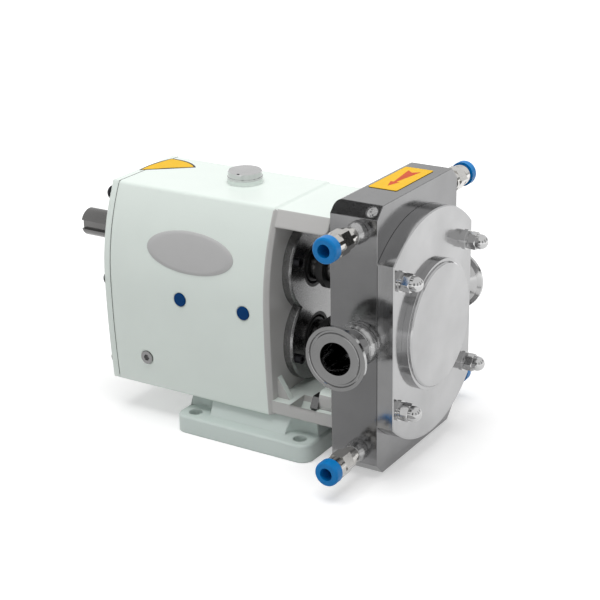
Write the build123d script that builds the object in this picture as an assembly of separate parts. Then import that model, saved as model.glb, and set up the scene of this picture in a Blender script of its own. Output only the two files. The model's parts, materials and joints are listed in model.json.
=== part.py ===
from build123d import *
import os
from math import atan2, cos, hypot, pi, radians, sin, sqrt, tan

# Rotary lobe pump: jacketed stainless pump head on a cast timing gearbox with an open
# lantern and a bolted foot. Millimetres, +Z up, the front cover faces -Y, and the origin
# is the centre of the foot's bolt pattern on the floor.

os.makedirs("parts", exist_ok=True)

# ---- driving dimensions -------------------------------------------------------------
centre_distance = 60.0       # between the two shafts
pump_axis_z = 111.0          # height of the middle of the pump head
foot_length = 128.0
foot_width = 139.0
foot_thickness = 15.0
foot_bolt_spacing_x = 115.0
foot_bolt_spacing_y = 101.0
foot_bolt_hole = 11.0
gearbox_bottom_z = 28.0
gearbox_top_z = 198.0
gearbox_length = 154.0
gearbox_waist_half = 60.0    # half width at the widest height
gearbox_waist_z = 118.0
gearbox_top_half = 41.0
gearbox_bottom_half = 55.5
gearbox_wall = 14.0
front_wall = 26.0
middle_wall = 20.0
gear_bay_length = 40.0
rear_cover_thickness = 7.0
lantern_length = 60.0
top_arm_thickness = 13.0
bottom_arm_thickness = 13.0
lantern_pad_length = 14.0
bottom_pad_length = 20.0
gearbox_front_y = -24.0

back_plate_thickness = 8.0
casing_width = 129.0
casing_depth = 32.0
casing_height = 216.0
casing_corner = 9.0
cover_thickness = 14.0
cover_diameter = 184.0
jacket_diameter = 104.0
jacket_thickness = 7.0
stud_edge = 9.5              # stud centre in from the casing's side
stud_z = 52.0
stud_diameter = 8.0

rotor_width = 27.4
rotor_end_gap = 0.3
rotor_gap = 0.25             # clearance taken off every rotor flank
rotor_tip_gap = 0.4          # rotor tip to the chamber wall
rotor_lobes = 3
rotor_seat_diameter = 20.0

port_bore = 26.0
casing_port_bore = 25.0
port_tube = 29.0
port_reach = 34.5            # port face out from the casing's side
ferrule_diameter = 50.5
ferrule_rim = 2.85
ferrule_hub = 43.5

fitting_reach = 49.5         # collar face out from the casing's side
fitting_inset = 20.0         # fitting axis in from the casing's top and bottom
fitting_stem_diameter = 14.0
fitting_stem_length = 22.0
fitting_hex = 17.0
fitting_hex_length = 11.0
fitting_sleeve = 17.5
collar_diameter = 20.0
collar_length = 8.0
collar_travel = 1.5
hose_bore = 10.2

shaft_seal_diameter = 24.0
shaft_bearing_diameter = 25.0
shaft_shoulder_diameter = 31.0
input_diameter = 24.0
input_length = 62.0
input_shoulder = 14.0        # plain stretch between the rear seal and the keyed end
key_width = 8.0
key_depth = 4.0
rotor_key_width = 6.0
bearing_outer = 52.0
bearing_width = 15.0
gear_module = 2.5
gear_width = 24.0
gear_backlash = 0.3
pressure_angle = 20.0
seal_outer = 37.0
seal_width = 7.0
running_gap = 0.05           # radial clearance of shafts in their seals
free_gap = 0.3               # between bodies that do not bear on each other

# ---- places that follow from them -----------------------------------------------------
drive_z = pump_axis_z + centre_distance / 2
driven_z = pump_axis_z - centre_distance / 2
shaft_heights = {"drive": drive_z, "driven": driven_z}
gearbox_rear_y = gearbox_front_y + gearbox_length
rear_face_y = gearbox_rear_y + rear_cover_thickness
lantern_front_y = gearbox_front_y - lantern_length
casing_back_y = lantern_front_y - back_plate_thickness
casing_front_y = casing_back_y - casing_depth
cover_front_y = casing_front_y - cover_thickness
jacket_front_y = cover_front_y - jacket_thickness
port_y = (casing_back_y + casing_front_y) / 2
casing_side_x = casing_width / 2
port_face_x = casing_side_x + port_reach
fitting_face_x = casing_side_x + fitting_reach
fitting_z = casing_height / 2 - fitting_inset
stud_x = casing_side_x - stud_edge
rotor_front_y = casing_front_y + rotor_end_gap
rotor_back_y = rotor_front_y + rotor_width
chamber_back_y = rotor_back_y + rotor_end_gap
front_bearing_front_y = gearbox_front_y + 5.0
front_bearing_back_y = front_bearing_front_y + bearing_width
bay_front_y = gearbox_front_y + front_wall
bay_back_y = gearbox_rear_y - gear_bay_length - middle_wall
gear_bay_front_y = gearbox_rear_y - gear_bay_length
rear_bearing_front_y = bay_back_y + 2.0
rear_bearing_back_y = rear_bearing_front_y + bearing_width
spacer_length = 10.0
gear_front_y = rear_bearing_back_y + spacer_length
gear_back_y = gear_front_y + gear_width
locknut_length = 7.0
locknut_back_y = gear_back_y + locknut_length
pitch_radius = centre_distance / 2
chamber_radius = pitch_radius + pitch_radius / rotor_lobes + rotor_tip_gap
chamber_waist_half = sqrt(chamber_radius ** 2 - pitch_radius ** 2)


# ---- helpers ---------------------------------------------------------------------------
def along_y(sketch, y_rear, y_front):
    """Prism of an XZ sketch between two Y places, the rear one first."""
    return extrude(Plane.XZ.offset(-y_rear) * sketch, y_rear - y_front, dir=(0, -1, 0))


def along_x(sketch, x_from, x_to):
    """Prism of a YZ sketch between two X places."""
    return extrude(Plane.YZ.offset(x_from) * sketch, x_to - x_from, dir=(1, 0, 0))


def rod_y(diameter, y_rear, y_front, z=0.0, x=0.0):
    """Round bar along Y."""
    return along_y(Pos(x, z) * Circle(diameter / 2), y_rear, y_front)


def rod_x(diameter, x_from, x_to, y, z):
    """Round bar along X, whichever way round the two ends are given."""
    low, high = min(x_from, x_to), max(x_from, x_to)
    return along_x(Pos(y, z) * Circle(diameter / 2), low, high)


def ring_y(outer, inner, y_rear, y_front, z=0.0, x=0.0):
    """Round sleeve along Y."""
    sketch = Pos(x, z) * (Circle(outer / 2) - Circle(inner / 2))
    return along_y(sketch, y_rear, y_front)


def hex_y(across_flats, y_rear, y_front, z, x):
    """Hexagonal bar along Y."""
    sketch = Pos(x, z) * RegularPolygon(across_flats / 2, 6, major_radius=False)
    return along_y(sketch, y_rear, y_front)


def block(x_low, x_high, y_low, y_high, z_low, z_high):
    """Box between two corners."""
    box = Box(x_high - x_low, y_high - y_low, z_high - z_low)
    return Pos((x_low + x_high) / 2, (y_low + y_high) / 2, (z_low + z_high) / 2) * box


def edges_at(solid, axis, place, tolerance=0.01):
    """Edges that lie wholly in one plane across an axis."""
    low, high = place - tolerance, place + tolerance
    return solid.edges().filter_by_position(axis, low, high)


def save(solids, name):
    """Write one node; several solids go into one file as a group."""
    if isinstance(solids, (list, tuple)):
        solids = Compound(children=[s if isinstance(s, Solid) else s.solid() for s in solids])
    export_step(solids, f"parts/{name}.step")


# ---- gearbox ---------------------------------------------------------------------------
def bow_radius(rise, half, waist):
    """Radius of a side that bows from the waist to a half width over a rise."""
    drop = waist - half
    return (drop ** 2 + rise ** 2) / (2 * drop)


def bow_x(height, rise, half, waist):
    """Half width of a bowed side at a height above or below its waist."""
    radius = bow_radius(rise, half, waist)
    return waist - radius + sqrt(radius ** 2 - height ** 2)


def flip(point):
    """Point on the other side of the YZ plane."""
    return -point[0], point[1]


def barrel_outline(inset=0.0):
    """Section of the gearbox: flat top and bottom between two bowed sides."""
    top, bottom = gearbox_top_z - inset, gearbox_bottom_z + inset
    waist = gearbox_waist_half - inset
    top_half, bottom_half = gearbox_top_half - inset, gearbox_bottom_half - inset
    upper, lower = top - gearbox_waist_z, gearbox_waist_z - bottom
    upper_mid = (bow_x(upper / 2, upper, top_half, waist), gearbox_waist_z + upper / 2)
    lower_mid = (bow_x(lower / 2, lower, bottom_half, waist), gearbox_waist_z - lower / 2)
    right_top, right_waist = (top_half, top), (waist, gearbox_waist_z)
    right_bottom = (bottom_half, bottom)
    lines = [
        Line(flip(right_top), right_top),
        ThreePointArc(right_top, upper_mid, right_waist),
        ThreePointArc(right_waist, lower_mid, right_bottom),
        Line(right_bottom, flip(right_bottom)),
        ThreePointArc(flip(right_bottom), flip(lower_mid), flip(right_waist)),
        ThreePointArc(flip(right_waist), flip(upper_mid), flip(right_top)),
    ]
    return Face(Wire(lines))


arm_front_y = lantern_front_y + lantern_pad_length
top_pad_half = 36.0
top_pad_depth = 30.0
bottom_pad_half = 50.0
bottom_pad_y = lantern_front_y + bottom_pad_length
bottom_pad_top_z = 56.0
lantern_step = 1.5
top_edge = 4.0
front_edge = 3.0             # bevel of the gearbox's front edges, below the top edge's radius
fill_hole = 18.0
fill_x, fill_y = 5.0, 37.0
fill_boss_diameter = 29.0
fill_boss_height = 4.0
drain_hole = 9.0
drain_y, drain_z = 98.0, 54.0
rear_screw_diameter = 6.0
rear_screw_places = [(41.0, 187.0), (53.0, pump_axis_z + 5.0), (49.0, 44.0)]
casing_bolt_diameter = 10.0
casing_bolt_places = [(-44.0, 42.0), (44.0, 42.0), (-24.0, 183.0), (24.0, 183.0)]


def bolt_seat_y(z):
    """Rear face of the pad that a casing bolt at this height bears on."""
    return arm_front_y if z > pump_axis_z else bottom_pad_y


def side_x_at(z):
    """Half width of the gearbox at a height."""
    if z > gearbox_waist_z:
        rise, half = gearbox_top_z - gearbox_waist_z, gearbox_top_half
    else:
        rise, half = gearbox_waist_z - gearbox_bottom_z, gearbox_bottom_half
    return bow_x(z - gearbox_waist_z, rise, half, gearbox_waist_half)


def make_gearbox_housing():
    """Cast body: bearing walls, gear bay, two lantern arms and the casing pads."""
    outer = barrel_outline()
    body = along_y(outer, gearbox_rear_y, gearbox_front_y)
    body = fillet(body.edges().filter_by(Axis.Y).group_by(Axis.Z)[-1], top_edge)
    front_outline = edges_at(body, Axis.Y, gearbox_front_y)
    body = chamfer([e for e in front_outline if e.center().Z > gearbox_bottom_z + 1], front_edge)
    # lantern: the same section carried forward, cut open from side to side
    stretch = along_y(barrel_outline(lantern_step), gearbox_front_y + front_edge, lantern_front_y)
    window_bottom = gearbox_bottom_z + bottom_arm_thickness
    window_top = gearbox_top_z - lantern_step - top_arm_thickness
    reach = 2 * gearbox_waist_half
    window_side = Pos((gearbox_front_y + lantern_front_y) / 2, (window_bottom + window_top) / 2)
    window_side = window_side * Rectangle(lantern_length + 40, window_top - window_bottom)
    opening = along_x(window_side, -reach, reach)
    arms = stretch - opening
    # the top arm stops short of the casing beside its pad, with rounded ends
    for side in (-1, 1):
        low, high = sorted((side * top_pad_half, side * reach))
        notch = block(low, high, lantern_front_y - 1, arm_front_y, gearbox_waist_z, 2 * gearbox_top_z)
        arms -= notch
    end_edges = arms.edges().filter_by_position(Axis.Y, arm_front_y - 0.01, arm_front_y + 0.01)
    end_edges = [e for e in end_edges if abs(e.center().Z - window_top) < 0.01
                 and abs(e.center().X) > top_pad_half]
    arms = fillet(end_edges, 5.0)
    top_pad = block(-top_pad_half, top_pad_half, lantern_front_y, arm_front_y,
                    window_top - top_pad_depth + top_arm_thickness, window_top + 1)
    bottom_pad = block(-bottom_pad_half, bottom_pad_half, lantern_front_y,
                       bottom_pad_y, window_bottom - 1, bottom_pad_top_z)
    bottom_pad = fillet(edges_at(bottom_pad, Axis.Z, bottom_pad_top_z).filter_by(Axis.Y), 6.0)
    pads = top_pad + bottom_pad
    for z in shaft_heights.values():
        pads -= rod_y(seal_housing_diameter + 4.0, gearbox_front_y, lantern_front_y - 1, z)
    body += arms + pads
    # rib that braces each side of the lower arm against the gearbox
    for side in (-1, 1):
        foot = side * (gearbox_bottom_half - 8.0)
        rib = Polyline((gearbox_front_y + 1, window_bottom - 1), (gearbox_front_y + 1, 60.0),
                       (gearbox_front_y - 12.0, window_bottom - 1), close=True)
        body += along_x(Face(Wire(rib.edges())), min(foot, foot - side * 6), max(foot, foot - side * 6))
    # chambers and bearing bores
    inner_half = bearing_outer / 2 + 16.0
    low_z, high_z = gearbox_bottom_z + gearbox_wall, gearbox_top_z - gearbox_wall
    for y_low, y_high in ((bay_front_y, bay_back_y), (gear_bay_front_y, gearbox_rear_y + 1)):
        chamber = block(-inner_half, inner_half, y_low, y_high, low_z, high_z)
        body -= fillet(chamber.edges().filter_by(Axis.Y), 10.0)
    for z in shaft_heights.values():
        body -= rod_y(bearing_outer, bay_front_y + 1, gearbox_front_y - 1, z)
        body -= rod_y(bearing_outer, gear_bay_front_y + 1, rear_bearing_front_y, z)
        body -= rod_y(bearing_outer - 8.0, rear_bearing_front_y + 1, bay_back_y - 1, z)
    # filler, drain, side plug, cover screw and casing bolt holes
    body += Pos(fill_x, fill_y, gearbox_top_z - 1) * extrude(Circle(fill_boss_diameter / 2), fill_boss_height + 1)
    body -= Pos(fill_x, fill_y, gearbox_top_z) * Cylinder(fill_hole / 2, 4 * gearbox_wall)
    body -= rod_x(drain_hole, -reach, -inner_half + 1, drain_y, drain_z)
    body -= rod_x(drain_hole + 3.0, -reach, -side_x_at(drain_z) + spot_face_depth, drain_y, drain_z)
    for y in plug_places_y:
        body -= rod_x(plug_hole, -reach, -inner_half + 1, y, plug_z)
        body -= rod_x(plug_hole + 3.0, -reach, -side_x_at(plug_z) + spot_face_depth, y, plug_z)
    for x, z in rear_screw_places:
        for side in (-1, 1):
            body -= rod_y(rear_screw_diameter, gearbox_rear_y + 1, gearbox_rear_y - 16.0, z, side * x)
    for x, z in casing_bolt_places:
        seat_y = bolt_seat_y(z)
        body -= rod_y(casing_bolt_diameter + 1.0, seat_y + 1, lantern_front_y - 1, z, x)
        # room behind the pad for the bolt's head
        body -= rod_y(casing_head_room, gearbox_front_y - 16.0, seat_y, z, x)
    for x, z in bearing_screw_places():
        body -= rod_y(bearing_screw, gearbox_front_y + 16.0, gearbox_front_y - 1, z, x)
    for x, y in foot_screw_places:
        body -= Pos(x, y, gearbox_bottom_z) * Cylinder(foot_screw / 2, 2 * (foot_screw_reach + 2.0))
    return body


# ---- bearings, their covers and the oil seals -----------------------------------------
bearing_cover_radius = 38.0
bearing_cover_thickness = 8.0
bearing_screw = 5.0
bearing_screw_ring = 32.0
bearing_spigot_gap = 0.3
casing_head_room = 22.0
plug_hole = 9.0
spot_face_depth = 1.0
plug_z = 113.0
plug_places_y = (-1.0, 60.0)
bearing_screw_length = 18.0


def bearing_screw_places():
    """Three screws round the outer half of each bearing."""
    places = []
    for z, turn in ((drive_z, 1), (driven_z, -1)):
        for angle in (20.0, 90.0, 160.0):
            a = radians(angle * turn)
            places.append((bearing_screw_ring * cos(a), z + bearing_screw_ring * sin(a)))
    return places


def make_bearing_cover():
    """Figure-of-eight cover with a spigot into each bore and a pocket for each oil seal."""
    front_y = gearbox_front_y - bearing_cover_thickness
    face = Pos(0, drive_z) * Circle(bearing_cover_radius)
    face += Pos(0, driven_z) * Circle(bearing_cover_radius)
    cover = along_y(face, gearbox_front_y, front_y)
    cover = chamfer(edges_at(cover, Axis.Y, front_y), 1.5)
    for z in shaft_heights.values():
        cover += rod_y(bearing_outer - 0.1, front_bearing_front_y, gearbox_front_y - 1, z)
        cover -= rod_y(seal_outer, front_y + seal_width, front_y - 1, z)
        cover -= rod_y(shaft_bearing_diameter + 2.0, front_bearing_front_y + 1, front_y, z)
    for x, z in bearing_screw_places():
        cover -= rod_y(bearing_screw + 0.5, gearbox_front_y + 1, front_y - 1, z, x)
    return cover


def socket_screw_y(diameter, head_back_y, length, z, x, forward=True):
    """Socket head cap screw along Y; its head stands off towards -Y when forward."""
    head = 1.5 * diameter
    sign = -1 if forward else 1
    tip_y, top_y = head_back_y - sign * length, head_back_y + sign * diameter
    screw = rod_y(diameter, max(tip_y, head_back_y), min(tip_y, head_back_y), z, x)
    screw += rod_y(head, max(top_y, head_back_y), min(top_y, head_back_y), z, x)
    socket_y = top_y - sign * 0.55 * diameter
    screw -= hex_y(0.8 * diameter, max(top_y, socket_y), min(top_y, socket_y), z, x)
    return screw


def bearing_ring_sizes():
    """Raceway diameters of the inner and outer bearing rings."""
    wall = (bearing_outer - shaft_bearing_diameter) / 2
    return shaft_bearing_diameter + 0.62 * wall, bearing_outer - 0.62 * wall


def make_outer_rings(y_rear, y_front):
    """Outer rings of one pair of roller bearings, with a rib at each edge."""
    _, outer_race = bearing_ring_sizes()
    rings = []
    for z in shaft_heights.values():
        ring = ring_y(bearing_outer, outer_race, y_rear, y_front, z)
        rings.append(ring)
    return rings


def make_rollers(y_rear, y_front, count=11):
    """Cylindrical rollers held between the two rings of a pair of bearings."""
    inner_race, outer_race = bearing_ring_sizes()
    diameter = (outer_race - inner_race) / 2 - 2 * running_gap
    ring_radius = (outer_race + inner_race) / 4
    rollers = []
    for z in shaft_heights.values():
        for step in range(count):
            a = 2 * pi * step / count
            x, rise = ring_radius * cos(a), ring_radius * sin(a)
            rollers.append(rod_y(diameter, y_rear - 2.5, y_front + 2.5, z + rise, x))
    return rollers


def make_inner_rings(z):
    """Inner rings of the two bearings on one shaft."""
    inner_race, _ = bearing_ring_sizes()
    places = ((front_bearing_back_y, front_bearing_front_y),
              (rear_bearing_back_y, rear_bearing_front_y))
    return [ring_y(inner_race, shaft_bearing_diameter, rear, front, z) for rear, front in places]


def lip_seal(z, shaft, y_rear, y_front):
    """Rubber oil seal round a shaft, thinner towards its lip."""
    seal = ring_y(seal_outer, shaft + 2 * running_gap, y_rear, y_front, z)
    groove = ring_y(seal_outer - 5.0, shaft + 4.0, y_front + 4.5, y_front, z)
    return seal - groove


# ---- rear cover ------------------------------------------------------------------------
def make_rear_cover():
    """Plate that closes the gear bay, bored for the drive shaft's oil seal."""
    cover = along_y(barrel_outline(), rear_face_y, gearbox_rear_y)
    cover = chamfer(edges_at(cover, Axis.Y, rear_face_y), 1.0)
    cover -= rod_y(seal_outer, rear_face_y + 1, gearbox_rear_y - 1, drive_z)
    cover += rod_y(bearing_outer, rear_face_y + 2.0, rear_face_y - 1, driven_z)
    for x, z in rear_screw_places:
        for side in (-1, 1):
            cover -= rod_y(rear_screw_diameter + 0.6, rear_face_y + 1, gearbox_rear_y - 1, z, side * x)
    return cover


def make_rear_screws():
    """Domed socket screws of the rear cover."""
    screws = []
    for x, z in rear_screw_places:
        for side in (-1, 1):
            screw = rod_y(rear_screw_diameter, rear_face_y, gearbox_rear_y - 12.0, z, side * x)
            head = rod_y(1.8 * rear_screw_diameter, rear_face_y + 3.4, rear_face_y, z, side * x)
            head = chamfer(edges_at(head, Axis.Y, rear_face_y + 3.4), 1.6)
            socket = hex_y(4.0, rear_face_y + 4.0, rear_face_y + 1.6, z, side * x)
            screws.append(screw + head - socket)
    return screws


# ---- foot ------------------------------------------------------------------------------
pedestal_top_half = 49.0
pedestal_inset = 4.0         # pedestal's top in from the foot's ends
pad_radius = 14.0
foot_corner = 10.0
core_wall = 12.0
core_end_wall = 24.0
core_roof = 10.0
core_half_x = pedestal_top_half - core_wall
core_half_y = foot_length / 2 - core_end_wall
foot_screw = 8.0
foot_screw_reach = 10.0      # into the gearbox
foot_screw_places = [(x * (core_half_x - 12.0), y * (core_half_y - 16.0))
                     for x in (-1, 1) for y in (-1, 1)]


def make_foot():
    """Cast foot: plate with four bolt pads and a flared hollow web up to the gearbox."""
    plate_face = RectangleRounded(foot_width, foot_length, foot_corner)
    plate = extrude(plate_face, foot_thickness)
    plate = chamfer(edges_at(plate, Axis.Z, foot_thickness), 1.5)
    rise = gearbox_bottom_z - foot_thickness
    base = Pos(0, 0, foot_thickness - 1) * RectangleRounded(foot_width - 22, foot_length - pedestal_inset, 8)
    crown = Pos(0, 0, gearbox_bottom_z) * RectangleRounded(2 * pedestal_top_half, foot_length - 2 * pedestal_inset, 6)
    web = loft([base.face(), crown.face()])
    # each bolt has a flat pad cut into the flare from its side
    for x in (-1, 1):
        for y in (-1, 1):
            cx, cy = x * foot_bolt_spacing_x / 2, y * foot_bolt_spacing_y / 2
            pocket = RectangleRounded(4 * pad_radius, 2 * pad_radius, pad_radius - 1)
            pocket = extrude(pocket, rise, both=True)
            web -= Pos(cx + x * pad_radius, cy, foot_thickness + rise) * pocket
    foot = plate + web
    # cored out from below, with walls left all round
    core = RectangleRounded(2 * core_half_x, 2 * core_half_y, 8)
    foot -= extrude(Pos(0, 0, -1) * core, gearbox_bottom_z - core_roof + 1)
    for x in (-1, 1):
        for y in (-1, 1):
            cx, cy = x * foot_bolt_spacing_x / 2, y * foot_bolt_spacing_y / 2
            foot -= Pos(cx, cy, foot_thickness / 2) * Cylinder(foot_bolt_hole / 2, 2 * foot_thickness)
    for x, y in foot_screw_places:
        foot -= Pos(x, y, gearbox_bottom_z) * Cylinder((foot_screw + 0.8) / 2, 4 * core_roof)
    return foot


def make_foot_screws():
    """Hexagon screws that hold the foot up against the gearbox."""
    seat_z = gearbox_bottom_z - core_roof
    screws = []
    for x, y in foot_screw_places:
        shank = Pos(x, y, seat_z) * extrude(Circle(foot_screw / 2), core_roof + foot_screw_reach)
        head = Pos(x, y, seat_z - 5.3) * extrude(RegularPolygon(6.5, 6, major_radius=False), 5.3)
        screws.append(shank + head)
    return screws


# ---- shafts and gears ------------------------------------------------------------------
thread_diameter = 16.0
rotor_nut_length = 7.5
thread_end_y = rotor_front_y + 4.0
rotor_pocket_depth = 8.0
rotor_pocket_diameter = 32.0
keyed_end_y = rear_face_y + input_shoulder


def make_shaft(name):
    """Stepped shaft: rotor seat, seal length, two bearing seats, gear seat, input end."""
    z = shaft_heights[name]
    seat_front_y = rotor_front_y + rotor_pocket_depth
    lengths = [
        (thread_diameter, seat_front_y, thread_end_y),
        (rotor_seat_diameter, rotor_back_y, seat_front_y),
        (shaft_seal_diameter, front_bearing_front_y - 2.0, rotor_back_y),
        (shaft_bearing_diameter, front_bearing_back_y, front_bearing_front_y - 2.0),
        (shaft_shoulder_diameter, rear_bearing_front_y, front_bearing_back_y),
        (shaft_bearing_diameter, locknut_back_y - 1.0, rear_bearing_front_y),
    ]
    end_y = locknut_back_y - 1.0
    if name == "drive":
        end_y = rear_face_y + input_length
        lengths[-1] = (shaft_bearing_diameter, keyed_end_y, rear_bearing_front_y)
        lengths.append((input_diameter, end_y, keyed_end_y))
    shaft = rod_y(*lengths[0], z)
    for diameter, rear, front in lengths[1:]:
        shaft += rod_y(diameter, rear, front, z)
    shaft = chamfer(edges_at(shaft, Axis.Y, end_y), 1.0)
    shaft -= key_slot(rotor_seat_diameter, rotor_key_width, seat_front_y + 2, rotor_back_y - 2, z)
    shaft -= key_slot(shaft_bearing_diameter, key_width, gear_front_y + 2, gear_back_y - 2, z)
    if name == "drive":
        # open keyway for the coupling, on the -X side
        slot = block(-input_diameter, -input_diameter / 2 + key_depth, keyed_end_y,
                     end_y + 1, z - key_width / 2, z + key_width / 2)
        shaft -= slot
    return shaft


def key_slot(diameter, width, y_low, y_high, z):
    """Room for a parallel key on top of a shaft."""
    depth = 0.5 * width
    top = z + diameter / 2
    return block(-width / 2, width / 2, y_low, y_high, top - depth, top + 0.4 * width)


def make_keys(z):
    """Rotor key and gear key of one shaft."""
    seat_front_y = rotor_front_y + rotor_pocket_depth
    rotor_key = key_slot(rotor_seat_diameter, rotor_key_width, seat_front_y + 2, rotor_back_y - 2, z)
    gear_key = key_slot(shaft_bearing_diameter, key_width, gear_front_y + 2, gear_back_y - 2, z)
    return [rotor_key, gear_key]


def involute_point(base_radius, radius, start):
    """Point of an involute at a radius, turned by a start angle in radians."""
    roll = sqrt(max((radius / base_radius) ** 2 - 1, 0.0))
    angle = start + roll - atan2(roll, 1)
    return radius * cos(angle), radius * sin(angle)


def gear_outline(teeth, turn):
    """Closed outline of a spur gear with involute flanks and one tooth at the turn angle."""
    pitch = gear_module * teeth / 2
    base = pitch * cos(radians(pressure_angle))
    tip, root = pitch + gear_module - 0.1, pitch - 1.25 * gear_module
    roll = tan(radians(pressure_angle)) - radians(pressure_angle)
    half_tooth = pi / (2 * teeth) - gear_backlash / (4 * pitch) + roll
    flank_steps = 4
    points = []
    for tooth in range(teeth):
        middle = turn + 2 * pi * tooth / teeth
        flank = [(base + (tip - base) * step / flank_steps) for step in range(flank_steps + 1)]
        lower = [involute_point(base, radius, -half_tooth) for radius in flank]
        lower.insert(0, (root * cos(-half_tooth), root * sin(-half_tooth)))
        upper = [(x, -y) for x, y in reversed(lower)]
        for x, y in lower + upper:
            points.append((x * cos(middle) - y * sin(middle), x * sin(middle) + y * cos(middle)))
    return Polygon(*points, align=None)


def make_gear(name):
    """Timing gear; the lower one has a gap where the upper one has a tooth."""
    z = shaft_heights[name]
    teeth = round(centre_distance / gear_module)
    turn = -pi / 2 if name == "drive" else pi / 2 + pi / teeth
    gear = along_y(Pos(0, z) * gear_outline(teeth, turn), gear_back_y, gear_front_y)
    gear -= rod_y(shaft_bearing_diameter, gear_back_y + 1, gear_front_y - 1, z)
    gear -= key_slot(shaft_bearing_diameter, key_width, gear_front_y - 1, gear_back_y + 1, z)
    return gear


def make_locknut(z):
    """Slotted nut that holds the gear and the rear bearing on the shaft."""
    nut = ring_y(38.0, shaft_bearing_diameter, locknut_back_y, gear_back_y, z)
    for angle in (0, 90, 180, 270):
        slot = block(-2.5, 2.5, gear_back_y - 1, locknut_back_y + 1, 16.5, 20.0)
        nut -= Pos(0, 0, z) * (Rot(0, angle, 0) * slot)
    return nut


# ---- rotors ----------------------------------------------------------------------------
def on_pitch(angle):
    """Point of the pitch circle."""
    return pitch_radius * cos(angle), pitch_radius * sin(angle)


def rotor_outline():
    """Three-lobe cycloidal outline, drawn in by the rotor gap along its normals."""
    rolling = pitch_radius / (2 * rotor_lobes)
    half_pitch = pi / rotor_lobes
    steps = 8
    edges = []
    for half in range(2 * rotor_lobes):
        start = pi / 2 + (half - 0.5) * half_pitch
        sign = 1 if half % 2 == 0 else -1
        # lobes and hollows meet on the pitch circle, where the gap is taken along it
        lean = sign * rotor_gap / pitch_radius
        points = [on_pitch(start + lean)]
        for step in range(1, steps):
            roll = start + half_pitch * step / steps
            turn = (roll - start) * pitch_radius / rolling
            centre = pitch_radius + sign * rolling
            angle = roll + pi + turn if sign > 0 else roll - turn
            x = centre * cos(roll) + rolling * cos(angle)
            y = centre * sin(roll) + rolling * sin(angle)
            # the normal of a cycloid passes through its rolling contact
            contact = on_pitch(roll)
            away = (x - contact[0], y - contact[1])
            pull = -sign * rotor_gap / hypot(*away)
            points.append((x + away[0] * pull, y + away[1] * pull))
        points.append(on_pitch(start + half_pitch - lean))
        edges.append(Spline(*points))
    return Face(Wire(edges))


def make_rotor(z):
    """Three-lobe rotor with a key seat and a pocket for its nut."""
    rotor = along_y(Pos(0, z) * rotor_outline(), rotor_back_y, rotor_front_y)
    rotor -= rod_y(rotor_seat_diameter, rotor_back_y + 1, rotor_front_y - 1, z)
    rotor -= rod_y(rotor_pocket_diameter, rotor_front_y + rotor_pocket_depth, rotor_front_y - 1, z)
    rotor -= key_slot(rotor_seat_diameter, rotor_key_width, rotor_front_y - 1, rotor_back_y + 1, z)
    return rotor


def make_rotor_nut(z):
    """Closed cap nut that sits inside the rotor's pocket."""
    back_y = rotor_front_y + rotor_pocket_depth
    front_y = back_y - rotor_nut_length
    nut = hex_y(22.0, back_y, front_y, z, 0)
    nut += rod_y(28.0, back_y, back_y - 2.0, z)
    nut -= rod_y(thread_diameter, back_y + 1, thread_end_y, z)
    return nut


# ---- shaft seals of the pump head -------------------------------------------------------
seal_housing_diameter = 57.0
seal_housing_length = 22.0
seal_seat_outer = 36.0
seal_seat_length = 9.0
seal_face_gap = 0.1
seal_rotary_outer = 33.0
seal_housing_bore = 40.0
slinger_diameter = 34.0
slinger_width = 4.0
slinger_y = -48.0


def make_seal_housing(z):
    """Round housing bolted on the back of the casing round one shaft."""
    rear_y = lantern_front_y + seal_housing_length
    housing = rod_y(seal_housing_diameter, rear_y, lantern_front_y, z)
    housing = chamfer(edges_at(housing, Axis.Y, rear_y), 1.5)
    housing -= rod_y(seal_housing_bore, rear_y - 4.0, lantern_front_y - 1, z)
    housing -= rod_y(shaft_seal_diameter + 2 * free_gap + 2.0, rear_y + 1, rear_y - 5.0, z)
    return housing


def make_seal_seat(z):
    """Stationary seal ring in the casing's back wall."""
    front_y = chamber_back_y + 1.0
    bore = shaft_seal_diameter + 2 * running_gap
    return ring_y(seal_seat_outer, bore, front_y + seal_seat_length, front_y, z)


def make_seal_rotary(z):
    """Rotating seal ring and its drive collar, on the shaft."""
    front_y = chamber_back_y + 1.0 + seal_seat_length + seal_face_gap
    face = ring_y(30.0, shaft_seal_diameter, front_y + 3.0, front_y, z)
    face += ring_y(seal_rotary_outer, shaft_seal_diameter, front_y + 14.0, front_y + 3.0, z)
    for turn in range(6):
        a = 2 * pi * turn / 6
        x, rise = 13.9 * cos(a), 13.9 * sin(a)
        face -= rod_y(2.6, front_y + 15.0, front_y + 9.0, z + rise, x)
    return face


def make_slinger(z):
    """Rubber disc on the shaft that throws off leaked product."""
    slinger = ring_y(slinger_diameter, shaft_seal_diameter, slinger_y + slinger_width, slinger_y, z)
    slinger += ring_y(29.0, shaft_seal_diameter, slinger_y + slinger_width + 4, slinger_y, z)
    return slinger


# ---- casing and covers ------------------------------------------------------------------
def truncated_disc(diameter, width):
    """Round face with a flat on each side."""
    return Circle(diameter / 2) & Rectangle(width, 2 * diameter)


def chamber_face(extra=0.0):
    """Figure-of-eight section of the rotor chamber."""
    face = Pos(0, drive_z) * Circle(chamber_radius + extra)
    return face + Pos(0, driven_z) * Circle(chamber_radius + extra)


oring_section = 3.0
oring_offset = 4.0
corner_plug_diameter = 9.0
corner_plug_y_inset = 7.0
stud_depth = 16.0
dowel_diameter = 6.0


def oring_face(inset=0.0):
    """Endless seal track outside the chamber, as a flat ring."""
    inner = chamber_face(oring_offset + inset)
    outer = chamber_face(oring_offset + oring_section - inset)
    return outer - inner


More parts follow.
